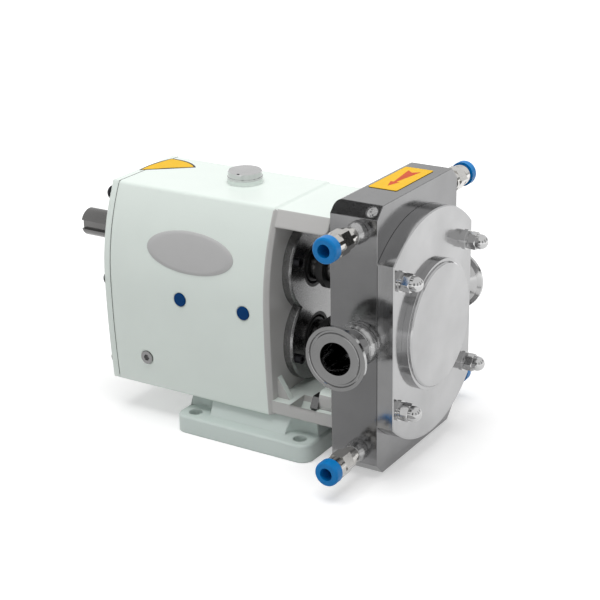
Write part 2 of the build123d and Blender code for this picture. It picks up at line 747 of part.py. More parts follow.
def make_casing():
    """Stainless block with the rotor chamber, two ports and the heating jacket's plugs."""
    outline = Pos(0, pump_axis_z) * Rectangle(casing_width, casing_height)
    outline = chamfer(outline.vertices(), casing_corner)
    casing = along_y(outline, casing_back_y, casing_front_y)
    rear_edges = edges_at(casing, Axis.Y, casing_back_y).filter_by(Axis.X)
    casing = fillet(rear_edges, casing_corner)
    casing -= along_y(chamber_face(), chamber_back_y, casing_front_y - 1)
    for side in (-1, 1):
        casing -= rod_x(casing_port_bore, side * chamber_waist_half, side * (casing_side_x + 1),
                        port_y, pump_axis_z)
    casing -= along_y(oring_face(), casing_front_y + 0.8 * oring_section, casing_front_y - 1)
    for z in shaft_heights.values():
        casing -= rod_y(seal_seat_outer, casing_back_y + 1, chamber_back_y + 1.0, z)
        casing -= rod_y(shaft_seal_diameter + 4.0, casing_back_y + 1, chamber_back_y - 1, z)
    for x, z in stud_places():
        casing -= rod_y(stud_diameter, casing_front_y + stud_depth, casing_front_y - 1, z, x)
    for x, z in casing_bolt_places:
        casing -= rod_y(casing_bolt_diameter, casing_back_y + 1, casing_back_y - 14.0, z, x)
    casing -= corner_plug(0.0)
    for side in (-1, 1):
        for rise in (-1, 1):
            z = pump_axis_z + rise * fitting_z
            casing -= rod_x(8.0, side * (casing_side_x - 20.0), side * (casing_side_x + 1), port_y, z)
    return casing


def corner_plug(stand_off):
    """Screwed plug of a jacket drilling, across the casing's upper -X corner."""
    centre = (-(casing_side_x - casing_corner / 2), casing_front_y + corner_plug_y_inset,
              pump_axis_z + casing_height / 2 - casing_corner / 2)
    depth = 8.0
    plug = extrude(Circle(corner_plug_diameter / 2), depth + stand_off)
    return Pos(*centre) * (Rot(0, -45, 0) * (Pos(0, 0, -depth) * plug))


def stud_places():
    """The four cover studs."""
    return [(x * stud_x, pump_axis_z + z * stud_z) for x in (-1, 1) for z in (-1, 1)]


def make_back_plate():
    """Rear plate of the jacket, truncated like the front cover."""
    face = Pos(0, pump_axis_z) * truncated_disc(cover_diameter, casing_width)
    plate = along_y(face, lantern_front_y, casing_back_y)
    for z in shaft_heights.values():
        plate -= rod_y(seal_seat_outer + 1.0, lantern_front_y + 1, casing_back_y - 1, z)
    for x, z in casing_bolt_places:
        plate -= rod_y(casing_bolt_diameter + 1.0, lantern_front_y + 1, casing_back_y - 1, z, x)
    return plate


def make_front_cover():
    """Thick polished cover, flush with the casing's sides."""
    face = Pos(0, pump_axis_z) * truncated_disc(cover_diameter, casing_width)
    cover = along_y(face, casing_front_y, cover_front_y)
    cover = chamfer(edges_at(cover, Axis.Y, cover_front_y), 0.8)
    for x, z in stud_places():
        cover -= rod_y(stud_diameter + 1.0, casing_front_y + 1, cover_front_y - 1, z, x)
    return cover


def make_jacket_plate():
    """Raised round jacket plate on the cover, with a stepped and bevelled shoulder."""
    plate = rod_y(jacket_diameter, cover_front_y, jacket_front_y + 2.0, pump_axis_z)
    plate += rod_y(jacket_diameter - 5.0, cover_front_y, jacket_front_y, pump_axis_z)
    return chamfer(edges_at(plate, Axis.Y, jacket_front_y), 1.2)


def make_oring():
    """Cover seal ring, flush with the casing's front."""
    ring = along_y(oring_face(), casing_front_y + 0.8 * oring_section, casing_front_y)
    return ring


# ---- cover fasteners ---------------------------------------------------------------------
washer_thickness = 1.6
spring_washer_thickness = 2.0
nut_hex = 13.0
nut_hex_height = 6.5
nut_height = 15.0


def make_studs():
    """Studs screwed into the casing."""
    tip = cover_front_y - washer_thickness - spring_washer_thickness - nut_height + 5.0
    return [rod_y(stud_diameter, casing_front_y + stud_depth, tip, z, x) for x, z in stud_places()]


def make_washers(outer, back_y, thickness):
    """One washer on each stud."""
    return [ring_y(outer, stud_diameter, back_y, back_y - thickness, z, x) for x, z in stud_places()]


def make_acorn_nut(x, z):
    """Domed hexagon nut, closed over its stud."""
    back_y = cover_front_y - washer_thickness - spring_washer_thickness
    hexagon = hex_y(nut_hex, back_y, back_y - nut_hex_height, z, x)
    cone = rod_y(nut_hex + 1.5, back_y, back_y - nut_hex_height, z, x)
    cone = chamfer(cone.edges().filter_by(GeomType.CIRCLE), 0.7)
    dome_radius = nut_hex / 2 - 0.5
    neck_y = back_y - nut_height + dome_radius
    dome = rod_y(2 * dome_radius, back_y - nut_hex_height, neck_y, z, x)
    dome += Pos(x, neck_y, z) * Sphere(dome_radius)
    nut = (hexagon & cone) + dome
    tip = back_y - nut_height + 5.0
    return nut - rod_y(stud_diameter, back_y + 1, tip, z, x)


def make_casing_bolts():
    """Hexagon bolts from the lantern pads into the casing."""
    bolts = []
    for x, z in casing_bolt_places:
        seat_y = bolt_seat_y(z)
        shank = rod_y(casing_bolt_diameter, seat_y, casing_back_y - 12.0, z, x)
        head = hex_y(16.0, seat_y + 6.4, seat_y, z, x)
        bolts.append(shank + head)
    return bolts


# ---- ports and push-in fittings -----------------------------------------------------------
def make_ferrule(side):
    """Clamp ferrule and its welded tube on one side of the casing."""
    y_up = [(port_tube / 2, casing_side_x), (port_tube / 2, port_face_x - 9.0),
            (ferrule_hub / 2, port_face_x - ferrule_rim - 1.5),
            (ferrule_diameter / 2, port_face_x - ferrule_rim),
            (ferrule_diameter / 2, port_face_x), (port_bore / 2, port_face_x),
            (port_bore / 2, casing_side_x)]
    profile = Polyline(*[(x, r) for r, x in y_up], close=True)
    body = revolve(Face(Wire(profile.edges())), Axis.X)
    # gasket groove in the face, wider at its mouth
    gasket_radius = ferrule_hub / 2 - 0.6
    groove = Polyline((port_face_x + 0.5, gasket_radius - 1.7), (port_face_x - 1.2, gasket_radius - 0.7),
                      (port_face_x - 1.2, gasket_radius + 0.7), (port_face_x + 0.5, gasket_radius + 1.7),
                      close=True)
    body -= revolve(Face(Wire(groove.edges())), Axis.X)
    collar = rod_x(port_tube + 4.0, casing_side_x, casing_side_x + 2.5, 0, 0)
    collar -= rod_x(port_tube, casing_side_x - 1, casing_side_x + 4, 0, 0)
    body += collar
    if side < 0:
        body = mirror(body, Plane.YZ)
    return Pos(0, port_y, pump_axis_z) * body


hex_start_x = casing_side_x + fitting_stem_length
hex_end_x = hex_start_x + fitting_hex_length
collar_back_x = fitting_face_x - collar_length
collar_neck = collar_diameter - 6.0
collar_round = 2.0


def make_fitting(side, rise):
    """Screwed adapter and hexagon body of one push-in hose fitting."""
    y, z = port_y, pump_axis_z + rise * fitting_z
    sleeve_end = collar_back_x - collar_travel - free_gap
    body = rod_x(fitting_stem_diameter, casing_side_x, hex_start_x, 0, 0)
    body += rod_x(fitting_stem_diameter + 3.0, hex_start_x - 4.0, hex_start_x, 0, 0)
    hexagon = RegularPolygon(fitting_hex / 2, 6, major_radius=False)
    body += along_x(hexagon, hex_start_x, hex_end_x)
    body += rod_x(fitting_sleeve, hex_end_x, sleeve_end, 0, 0)
    body -= rod_x(collar_neck + 2 * free_gap, hex_end_x - 3.0, sleeve_end + 1, 0, 0)
    body -= rod_x(6.0, casing_side_x - 1, hex_end_x, 0, 0)
    if side < 0:
        body = mirror(body, Plane.YZ)
    return Pos(0, y, z) * body


def make_collar(side, rise):
    """Release collar of one push-in fitting, pressed in to let the hose go."""
    y, z = port_y, pump_axis_z + rise * fitting_z
    # the outer edge is rounded off in three bevels
    corner = [(fitting_face_x - collar_round * (1 - sin(a)), collar_diameter / 2 - collar_round * (1 - cos(a)))
              for a in (0.0, pi / 6, pi / 3, pi / 2)]
    profile = Polyline((collar_back_x, 0), (collar_back_x, collar_diameter / 2), *corner,
                       (fitting_face_x, 0), close=True)
    collar = revolve(Face(Wire(profile.edges())), Axis.X)
    collar += rod_x(collar_neck, collar_back_x - 6.0, collar_back_x + 1, 0, 0)
    collar -= rod_x(hose_bore, collar_back_x - 7.0, fitting_face_x + 1, 0, 0)
    if side < 0:
        collar = mirror(collar, Plane.YZ)
    return Pos(0, y, z) * collar


# ---- plugs -------------------------------------------------------------------------------
cap_diameter = 28.0
cap_height = 6.5


def make_fill_cap():
    """Round screwed filler cap on its boss, with a lip at its foot."""
    seat_z = gearbox_top_z + fill_boss_height
    cap = Pos(0, 0, seat_z) * extrude(Circle(cap_diameter / 2), cap_height)
    cap = chamfer(edges_at(cap, Axis.Z, seat_z + cap_height), 0.8)
    cap += Pos(0, 0, seat_z) * extrude(Circle(fill_boss_diameter / 2), 1.5)
    cap += Pos(0, 0, seat_z - 12.0) * extrude(Circle(fill_hole / 2), 12.0)
    return Pos(fill_x, fill_y, 0) * cap


def make_drain_plug():
    """Hexagon socket plug low on the -X side."""
    face_x = -side_x_at(drain_z) + spot_face_depth
    plug = rod_x(drain_hole, face_x - 0.5, face_x + 12.0, drain_y, drain_z)
    plug += rod_x(drain_hole + 2.0, face_x - 2.0, face_x, drain_y, drain_z)
    socket = Pos(drain_y, drain_z) * RegularPolygon(2.5, 6, major_radius=False)
    return plug - along_x(socket, face_x - 3, face_x + 3.0)


def make_side_plugs():
    """Plastic level plugs on the -X side."""
    face_x = -side_x_at(plug_z) + spot_face_depth
    plugs = []
    for y in plug_places_y:
        plug = rod_x(plug_hole, face_x - 0.5, face_x + 10.0, y, plug_z)
        head = rod_x(plug_hole + 2.0, face_x - 2.0, face_x, y, plug_z)
        rim = head.edges().filter_by_position(Axis.X, face_x - 2.01, face_x - 1.99)
        plugs.append(plug + chamfer(rim, 0.6))
    return plugs


# ---- build --------------------------------------------------------------------------------
save(make_gearbox_housing(), "gearbox_housing")
save(make_rear_cover(), "rear_cover")
save(make_rear_screws(), "rear_cover_screws")
save(make_foot(), "foot")
save(make_foot_screws(), "foot_screws")
save(make_bearing_cover(), "front_bearing_cover")
save([socket_screw_y(bearing_screw, gearbox_front_y - bearing_cover_thickness, bearing_screw_length, z, x)
      for x, z in bearing_screw_places()], "bearing_cover_screws")
save(make_outer_rings(front_bearing_back_y, front_bearing_front_y), "front_bearing_outer_rings")
save(make_outer_rings(rear_bearing_back_y, rear_bearing_front_y), "rear_bearing_outer_rings")
save(make_rollers(front_bearing_back_y, front_bearing_front_y)
     + make_rollers(rear_bearing_back_y, rear_bearing_front_y), "bearing_rollers")
seal_front_y = gearbox_front_y - bearing_cover_thickness
save([lip_seal(z, shaft_seal_diameter, seal_front_y + seal_width, seal_front_y)
      for z in shaft_heights.values()], "front_oil_seals")
save(lip_seal(drive_z, shaft_bearing_diameter, rear_face_y, gearbox_rear_y), "rear_oil_seal")
save(make_fill_cap(), "fill_cap")
save(make_drain_plug(), "drain_plug")
save(make_side_plugs(), "side_plugs")

for shaft_name, height in shaft_heights.items():
    save(make_shaft(shaft_name), f"{shaft_name}_shaft")
    save(make_gear(shaft_name), f"{shaft_name}_gear")
    save(make_keys(height), f"{shaft_name}_keys")
    save(make_inner_rings(height), f"{shaft_name}_bearing_inner_rings")
    save(ring_y(shaft_shoulder_diameter, shaft_bearing_diameter, gear_front_y,
                rear_bearing_back_y, height), f"{shaft_name}_gear_spacer")
    save(make_locknut(height), f"{shaft_name}_locknut")
    save(make_rotor(height), f"{shaft_name}_rotor")
    save(make_rotor_nut(height), f"{shaft_name}_rotor_nut")
    save(make_seal_rotary(height), f"{shaft_name}_seal_rotary_ring")
    save(make_slinger(height), f"{shaft_name}_slinger")

save([make_seal_housing(z) for z in shaft_heights.values()], "seal_housings")
save([make_seal_seat(z) for z in shaft_heights.values()], "seal_stationary_rings")
save(make_casing(), "pump_casing")
save(make_back_plate(), "back_plate")
save(make_front_cover(), "front_cover")
save(make_jacket_plate(), "jacket_plate")
save(make_oring(), "cover_seal_ring")
save(corner_plug(-0.4), "jacket_corner_plug")
save(make_studs(), "cover_studs")
save(make_washers(16.0, cover_front_y, washer_thickness), "cover_washers")
save(make_washers(14.0, cover_front_y - washer_thickness, spring_washer_thickness),
     "cover_spring_washers")
save([make_acorn_nut(x, z) for x, z in stud_places()], "cover_acorn_nuts")
save(make_casing_bolts(), "casing_bolts")
save(make_ferrule(-1), "near_port_ferrule")
save(make_ferrule(1), "far_port_ferrule")
for side_name, side in (("near", -1), ("far", 1)):
    for level_name, rise in (("upper", 1), ("lower", -1)):
        save(make_fitting(side, rise), f"{side_name}_{level_name}_fitting")
        save(make_collar(side, rise), f"{side_name}_{level_name}_collar")
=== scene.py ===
"""Finishes, plates and studio of a rotary lobe pump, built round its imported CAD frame."""

import json
import logging
import math
from dataclasses import dataclass, field, replace
from enum import Enum
from typing import Callable, ClassVar

import bmesh
import bpy
from mathutils import Matrix, Vector
from mathutils.bvhtree import BVHTree

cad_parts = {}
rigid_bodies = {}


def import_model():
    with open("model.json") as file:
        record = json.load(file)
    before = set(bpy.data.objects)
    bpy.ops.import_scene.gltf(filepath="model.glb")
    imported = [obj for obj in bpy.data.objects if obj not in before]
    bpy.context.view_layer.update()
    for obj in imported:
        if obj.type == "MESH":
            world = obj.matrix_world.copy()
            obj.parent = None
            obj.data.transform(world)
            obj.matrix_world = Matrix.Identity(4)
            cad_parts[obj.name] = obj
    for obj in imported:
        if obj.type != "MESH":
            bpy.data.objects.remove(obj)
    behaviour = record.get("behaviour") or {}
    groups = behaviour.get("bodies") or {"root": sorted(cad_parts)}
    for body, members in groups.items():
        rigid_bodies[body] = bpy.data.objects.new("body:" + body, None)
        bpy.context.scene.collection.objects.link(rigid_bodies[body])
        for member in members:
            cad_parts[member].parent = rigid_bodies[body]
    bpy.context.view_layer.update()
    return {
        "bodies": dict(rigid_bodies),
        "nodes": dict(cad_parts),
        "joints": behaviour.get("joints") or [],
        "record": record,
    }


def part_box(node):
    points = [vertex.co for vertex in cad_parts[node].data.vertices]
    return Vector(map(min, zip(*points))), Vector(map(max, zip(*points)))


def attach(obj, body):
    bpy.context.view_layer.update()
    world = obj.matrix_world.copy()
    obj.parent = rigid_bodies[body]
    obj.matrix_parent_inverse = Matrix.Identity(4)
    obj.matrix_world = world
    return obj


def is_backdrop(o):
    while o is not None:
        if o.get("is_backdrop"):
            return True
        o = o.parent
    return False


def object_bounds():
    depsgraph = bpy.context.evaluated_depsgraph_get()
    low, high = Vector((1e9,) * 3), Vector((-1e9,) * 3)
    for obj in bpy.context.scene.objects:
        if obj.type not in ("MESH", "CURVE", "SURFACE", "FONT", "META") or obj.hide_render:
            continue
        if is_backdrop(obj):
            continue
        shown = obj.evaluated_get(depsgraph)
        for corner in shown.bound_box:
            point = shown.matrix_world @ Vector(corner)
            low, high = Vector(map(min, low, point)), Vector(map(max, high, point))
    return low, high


LOG = logging.getLogger("lobe_pump")
MM = 0.001
GREY_SIDES_OVERLAP = 1.0 * MM

Colour = tuple[float, float, float]
Point = tuple[float, float, float]
FlatPoint = tuple[float, float]
Span = tuple[float, float]


class Grain(Enum):
    """Direction in which a metal face is brushed; the value stretches the scratch pattern."""

    NONE = (1.0, 1.0, 1.0)
    ALONG_Y = (1.0, 0.03, 1.0)
    ALONG_Z = (1.0, 1.0, 0.03)

# The gearbox's side faces ahead of this Y turn a flat grey, darker than the enamel.

class Side(Enum):
    """The two sides of the pump, by the sign of X."""

    NEAR = -1
    FAR = 1


# ---- shader nodes ------------------------------------------------------------------------
@dataclass(frozen=True)
class Pattern:
    """Noise, by its repeats per metre and its octaves."""

    scale: float
    detail: float


def compute(tree: bpy.types.NodeTree, operation: str, first: object, second: object) -> object:
    """Add a Math node.

    Args:
        tree: Node tree of the world or of a material.
        operation: Blender's name of the operation.
        first: Socket with the first value.
        second: Socket or number with the second value.

    Returns:
        The socket with the result.
    """
    node = tree.nodes.new("ShaderNodeMath")
    node.operation = operation
    tree.links.new(first, node.inputs[0])
    if isinstance(second, bpy.types.NodeSocket):
        tree.links.new(second, node.inputs[1])
    else:
        node.inputs[1].default_value = second
    return node.outputs[0]


def remap(tree: bpy.types.NodeTree, socket: object, source: Span, target: Span) -> object:
    """Map one range of numbers to another, clamped at both ends.

    Args:
        tree: Node tree of the world or of a material.
        socket: Value to map.
        source: Range that is read.
        target: Range that comes out.

    Returns:
        The socket with the mapped value.
    """
    node = tree.nodes.new("ShaderNodeMapRange")
    for key, value in zip(("From Min", "From Max", "To Min", "To Max"), (*source, *target)):
        node.inputs[key].default_value = value
    tree.links.new(socket, node.inputs["Value"])
    return node.outputs["Result"]


class ShaderSheet:
    """A material's node tree, with short calls for the few nodes that the finishes need."""

    PATTERN_MIDDLE: ClassVar[Span] = (0.3, 0.7)
    EDGE_SAMPLES: ClassVar[int] = 6
    SIDE_LIMIT: ClassVar[float] = 0.5

    def __init__(self, name: str) -> None:
        """Start an empty material with a Principled shader.

        Args:
            name: Name of the material.
        """
        self.material = bpy.data.materials.new(name)
        self.material.use_nodes = True
        self.tree = self.material.node_tree
        self.shader = self.tree.nodes["Principled BSDF"]
        self.place = self.tree.nodes.new("ShaderNodeTexCoord").outputs["Object"]
        self.rounding = None

    def set(self, **values: float | tuple) -> None:
        """Set sockets of the Principled shader.

        Args:
            values: Numbers or colours by socket name, with underscores for spaces.
        """
        for key, value in values.items():
            socket = self.shader.inputs[key.replace("_", " ")]
            socket.default_value = (*value, 1.0) if isinstance(value, tuple) else value

    def noise(self, pattern: Pattern, stretch: Point = (1.0, 1.0, 1.0)) -> object:
        """Add a noise pattern in the object's own space.

        Args:
            pattern: Scale and detail of the noise.
            stretch: Factor on each axis before the noise is read.

        Returns:
            The socket that gives the pattern, from 0 to 1.
        """
        mapping = self.tree.nodes.new("ShaderNodeMapping")
        mapping.inputs["Scale"].default_value = stretch
        self.tree.links.new(self.place, mapping.inputs["Vector"])
        texture = self.tree.nodes.new("ShaderNodeTexNoise")
        texture.inputs["Scale"].default_value = pattern.scale
        texture.inputs["Detail"].default_value = pattern.detail
        self.tree.links.new(mapping.outputs["Vector"], texture.inputs["Vector"])
        return texture.outputs["Fac"]

    def spread(self, socket: object, low: float, high: float) -> object:
        """Map the middle of a pattern to a range of numbers.

        Args:
            socket: Pattern from 0 to 1.
            low: Value at the pattern's dark end.
            high: Value at its light end.

        Returns:
            The socket with the mapped value.
        """
        return remap(self.tree, socket, self.PATTERN_MIDDLE, (low, high))

    def tint(self, socket: object, dark: Colour | object, light: Colour) -> None:
        """Colour the shader between two tones.

        Args:
            socket: Share of the light tone.
            dark: Tone at 0, or a socket that gives it.
            light: Tone at 1.
        """
        mix = self.tree.nodes.new("ShaderNodeMix")
        mix.data_type = "RGBA"
        if isinstance(dark, tuple):
            mix.inputs["A"].default_value = (*dark, 1.0)
        else:
            self.tree.links.new(dark, mix.inputs["A"])
        mix.inputs["B"].default_value = (*light, 1.0)
        self.tree.links.new(socket, mix.inputs["Factor"])
        self.tree.links.new(mix.outputs["Result"], self.shader.inputs["Base Color"])

    def roughen(self, socket: object, low: float, high: float) -> None:
        """Vary the roughness.

        Args:
            socket: Pattern from 0 to 1.
            low: Roughness at the pattern's dark end.
            high: Roughness at its light end.
        """
        self.tree.links.new(self.spread(socket, low, high), self.shader.inputs["Roughness"])

    def round_edges(self, radius: float) -> None:
        """Shade sharp edges as if they were rounded.

        Args:
            radius: Radius of the rounding; none at 0.
        """
        if radius > 0.0:
            bevel = self.tree.nodes.new("ShaderNodeBevel")
            bevel.samples = self.EDGE_SAMPLES
            bevel.inputs["Radius"].default_value = radius
            self.rounding = bevel.outputs["Normal"]

    def grey_sides_ahead(self, front_y: float, side_grey: Colour) -> None:
        """Colour the side faces in front of one Y a flat neutral grey, darker than the enamel.

        Args:
            front_y: Y in front of which side faces turn grey.
            side_grey: Grey tone of those faces.
        """
        where = self.tree.nodes.new("ShaderNodeSeparateXYZ")
        self.tree.links.new(self.place, where.inputs["Vector"])
        geometry = self.tree.nodes.new("ShaderNodeNewGeometry")
        facing = self.tree.nodes.new("ShaderNodeSeparateXYZ")
        self.tree.links.new(geometry.outputs["Normal"], facing.inputs["Vector"])
        # Side faces ahead of front_y are coloured a flat neutral grey, darker than the enamel.
        ahead = compute(self.tree, "LESS_THAN", where.outputs["Y"], front_y)
        sideways = compute(self.tree, "LESS_THAN", facing.outputs["Z"], self.SIDE_LIMIT)
        painted = self.shader.inputs["Base Color"].links[0].from_socket
        self.tint(compute(self.tree, "MULTIPLY", ahead, sideways), painted, side_grey)

    def relief(self, layers: list[tuple[object, float]], depth: float) -> None:
        """Stack bump layers on the shader.

        Args:
            layers: Pattern and strength of each layer.
            depth: Height of a full layer in metres.
        """
        normal = self.rounding
        for socket, strength in layers:
            bump = self.tree.nodes.new("ShaderNodeBump")
            bump.inputs["Strength"].default_value = strength
            bump.inputs["Distance"].default_value = depth
            self.tree.links.new(socket, bump.inputs["Height"])
            if normal is not None:
                self.tree.links.new(normal, bump.inputs["Normal"])
            normal = bump.outputs["Normal"]
        self.tree.links.new(normal, self.shader.inputs["Normal"])


def shade(colour: Colour, factor: float) -> Colour:
    """Make a darker or lighter tone of a colour.

    Args:
        colour: The colour.
        factor: Factor on each channel.

    Returns:
        The tone, kept within 1.
    """
    return tuple(min(1.0, channel * factor) for channel in colour)


@dataclass(frozen=True)
class Enamel:
    """Semi-gloss enamel over a sand-cast surface."""

    name: str
    colour: Colour
    roughness: float = 0.36
    cast_relief: float = 0.25
    edge: float = 2.0 * MM
    front_y: float | None = None
    # Flat neutral grey for the side faces ahead of front_y, darker than the enamel.
    side_grey: Colour = (0.50, 0.495, 0.485)
    marks: ClassVar[Pattern] = Pattern(14.0, 5.0)
    mark_tone: ClassVar[float] = 0.965
    sheen: ClassVar[Pattern] = Pattern(40.0, 4.0)
    sheen_offsets: ClassVar[Span] = (-0.05, 0.08)
    waves: ClassVar[Pattern] = Pattern(55.0, 2.0)
    peel: ClassVar[Pattern] = Pattern(900.0, 2.0)
    peel_relief: ClassVar[float] = 0.10
    depth: ClassVar[float] = 0.6 * MM
    coat: ClassVar[float] = 0.25
    coat_roughness: ClassVar[float] = 0.22

    def make(self) -> bpy.types.Material:
        """Build the material: soft cast waves, fine orange peel and faint handling marks.

        Returns:
            The material.
        """
        sheet = ShaderSheet(self.name)
        sheet.round_edges(self.edge)
        marks = sheet.spread(sheet.noise(self.marks), 0.0, 1.0)
        sheet.tint(marks, shade(self.colour, self.mark_tone), self.colour)
        if self.front_y is not None:
            sheet.grey_sides_ahead(self.front_y, self.side_grey)
        sheet.roughen(sheet.noise(self.sheen), *(self.roughness + step for step in self.sheen_offsets))
        sheet.relief([(sheet.noise(self.waves), self.cast_relief),
                      (sheet.noise(self.peel), self.peel_relief)], self.depth)
        sheet.set(Coat_Weight=self.coat, Coat_Roughness=self.coat_roughness, Specular_IOR_Level=0.5)
        return sheet.material


@dataclass(frozen=True)
class Steel:
    """Bare metal, brushed one way or polished."""

    name: str
    colour: Colour
    roughness: float
    grain: Grain = Grain.NONE
    scratch: float = 0.08
    waviness: float = 0.05
    edge: float = 0.0
    clouds: ClassVar[Pattern] = Pattern(22.0, 4.0)
    cloud_tones: ClassVar[Span] = (0.86, 1.06)
    lines: ClassVar[Pattern] = Pattern(1600.0, 2.0)
    line_sheen: ClassVar[Span] = (0.75, 1.3)
    swell: ClassVar[Pattern] = Pattern(26.0, 1.0)
    depth: ClassVar[float] = 0.4 * MM

    def make(self) -> bpy.types.Material:
        """Build the material: brushed lines, polishing clouds and slightly wavy reflections.

        Returns:
            The material.
        """
        sheet = ShaderSheet(self.name)
        sheet.round_edges(self.edge)
        clouds = sheet.spread(sheet.noise(self.clouds), 0.0, 1.0)
        sheet.tint(clouds, *(shade(self.colour, tone) for tone in self.cloud_tones))
        lines = sheet.noise(self.lines, self.grain.value)
        sheet.roughen(lines, *(self.roughness * factor for factor in self.line_sheen))
        sheet.relief([(sheet.noise(self.swell), self.waviness), (lines, self.scratch)], self.depth)
        sheet.set(Metallic=1.0)
        return sheet.material


@dataclass(frozen=True)
class Moulded:
    """Plastic, rubber or carbon: a plain body colour with a fine moulded surface."""

    name: str
    colour: Colour
    roughness: float
    specular: float = 0.5
    mottle: float = 0.15
    flow: ClassVar[Pattern] = Pattern(90.0, 3.0)
    sheen: ClassVar[Pattern] = Pattern(300.0, 2.0)
    sheen_offsets: ClassVar[Span] = (-0.04, 0.08)
    texture: ClassVar[Pattern] = Pattern(1400.0, 2.0)
    texture_relief: ClassVar[float] = 0.08
    depth: ClassVar[float] = 0.3 * MM

    def make(self) -> bpy.types.Material:
        """Build the material: faint flow marks and a fine texture.

        Returns:
            The material.
        """
        sheet = ShaderSheet(self.name)
        tones = (shade(self.colour, 1 - self.mottle), shade(self.colour, 1 + self.mottle))
        sheet.tint(sheet.noise(self.flow), *tones)
        sheet.roughen(sheet.noise(self.sheen), *(self.roughness + step for step in self.sheen_offsets))
        sheet.relief([(sheet.noise(self.texture), self.texture_relief)], self.depth)
        sheet.set(Specular_IOR_Level=self.specular)
        return sheet.material


FINISHES: dict[str, Enamel | Steel | Moulded] = {
    "gearbox_paint": Enamel("mint_enamel", (0.77, 0.84, 0.795)),
    # Foot enamel, darker than the gearbox's mint: partly its own tone, partly painted shade from the
    # gearbox above it.
    "foot_paint": Enamel("foot_enamel_with_painted_shade", (0.61, 0.685, 0.655), 0.42, 0.4, 2.6 * MM),
    "casing_steel": Steel("satin_casing", (0.265, 0.265, 0.268), 0.16, Grain.NONE, 0.003, 0.07, 0.9 * MM),
    "cover_steel": Steel("polished_cover", (0.44, 0.44, 0.443), 0.14, Grain.ALONG_Z, 0.005, 0.08, 0.4 * MM),
    "port_steel": Steel("polished_tube", (0.43, 0.43, 0.43), 0.11, Grain.NONE, 0.01, 0.08),
    "fitting_nickel": Steel("nickel_plate", (0.56, 0.55, 0.53), 0.10, Grain.NONE, 0.01, 0.06),
    "fastener_steel": Steel("bright_fastener", (0.54, 0.54, 0.54), 0.10, Grain.NONE, 0.01, 0.06),
    "black_screw": Steel("black_oxide", (0.045, 0.045, 0.05), 0.38, Grain.NONE, 0.05),
    "collar_blue": Moulded("blue_collar", (0.001, 0.19, 0.52), 0.34, 0.25),
    "plug_blue": Moulded("blue_plug", (0.0005, 0.042, 0.16), 0.5, 0.08),
    "shaft_steel": Steel("turned_shaft", (0.15, 0.148, 0.146), 0.22, Grain.NONE, 0.02),
    "gear_steel": Steel("hardened_gear", (0.32, 0.32, 0.33), 0.34, Grain.ALONG_Y, 0.04),
    "bearing_steel": Steel("ground_bearing", (0.60, 0.60, 0.62), 0.12, Grain.NONE, 0.01),
    "rotor_steel": Steel("machined_rotor", (0.55, 0.55, 0.56), 0.24, Grain.ALONG_Y, 0.03),
    "seal_rubber": Moulded("nitrile_rubber", (0.022, 0.022, 0.022), 0.55),
    "seal_carbon": Moulded("carbon_ring", (0.035, 0.035, 0.037), 0.42),
    "flange_steel": Steel("turned_flange", (0.30, 0.30, 0.30), 0.25, Grain.NONE, 0.01, 0.05, 0.9 * MM),
    "seal_housing_steel": Steel("turned_housing", (0.20, 0.20, 0.205), 0.28, Grain.NONE, 0.01),
    "cap_chrome": Steel("polished_cap", (0.58, 0.58, 0.58), 0.07, Grain.NONE, 0.005, 0.05),
}
BOLT_GREY = Steel("grey_bolt", (0.16, 0.16, 0.16), 0.3, Grain.NONE, 0.02)
TRIM: dict[str, Steel | Moulded] = {
    "yellow": Moulded("label_yellow", (0.78, 0.47, 0.022), 0.5, 0.12, 0.05),
    "red": Moulded("label_red", (0.55, 0.08, 0.03), 0.5, 0.12),
    # Black for printed borders, also used as painted shade in the cover joints.
    "black": Moulded("print_and_joint_shade_black", (0.03, 0.03, 0.03), 0.5, 0.2),
    "grey": Moulded("plate_grey", (0.50, 0.50, 0.50), 0.45, 0.3, 0.02),
    "weld": Steel("brushed_weld", (0.42, 0.42, 0.42), 0.24, Grain.NONE, 0.01),
    "jacket": replace(FINISHES["casing_steel"], name="jacket_skin", edge=0.0),
}


# ---- mesh helpers ------------------------------------------------------------------------
def mesh_piece(name: str, shape: bmesh.types.BMesh, material: bpy.types.Material,
               smooth: bool = True) -> bpy.types.Object:
    """Turn a finished bmesh into an object of the scene.

    Args:
        name: Name of the object and its mesh.
        shape: The geometry, which is freed.
        material: Finish of all faces.
        smooth: Whether faces shade smoothly.

    Returns:
        The new object, at the origin of the frame.
    """
    bmesh.ops.recalc_face_normals(shape, faces=shape.faces)
    mesh = bpy.data.meshes.new(name)
    shape.to_mesh(mesh)
    shape.free()
    mesh.materials.append(material)
    for polygon in mesh.polygons:
        polygon.use_smooth = smooth
    piece = bpy.data.objects.new(name, mesh)
    bpy.context.scene.collection.objects.link(piece)
    return piece


def lathe(rings: list[list[Point]], closed: bool = False) -> bmesh.types.BMesh:
    """Skin a list of rings with quads.

    Args:
        rings: Rings of equally many points.
        closed: Whether the last ring joins the first; otherwise both ends are capped.

    Returns:
        The closed shape.
    """
    shape = bmesh.new()
    rows = [[shape.verts.new(point) for point in ring] for ring in rings]
    pairs = list(zip(rows, rows[1:])) + ([(rows[-1], rows[0])] if closed else [])
    for row, following in pairs:
        for index in range(len(row)):
            after = (index + 1) % len(row)
            shape.faces.new((row[index], row[after], following[after], following[index]))
    if not closed:
        shape.faces.new(rows[0])
        shape.faces.new(rows[-1])
    return shape


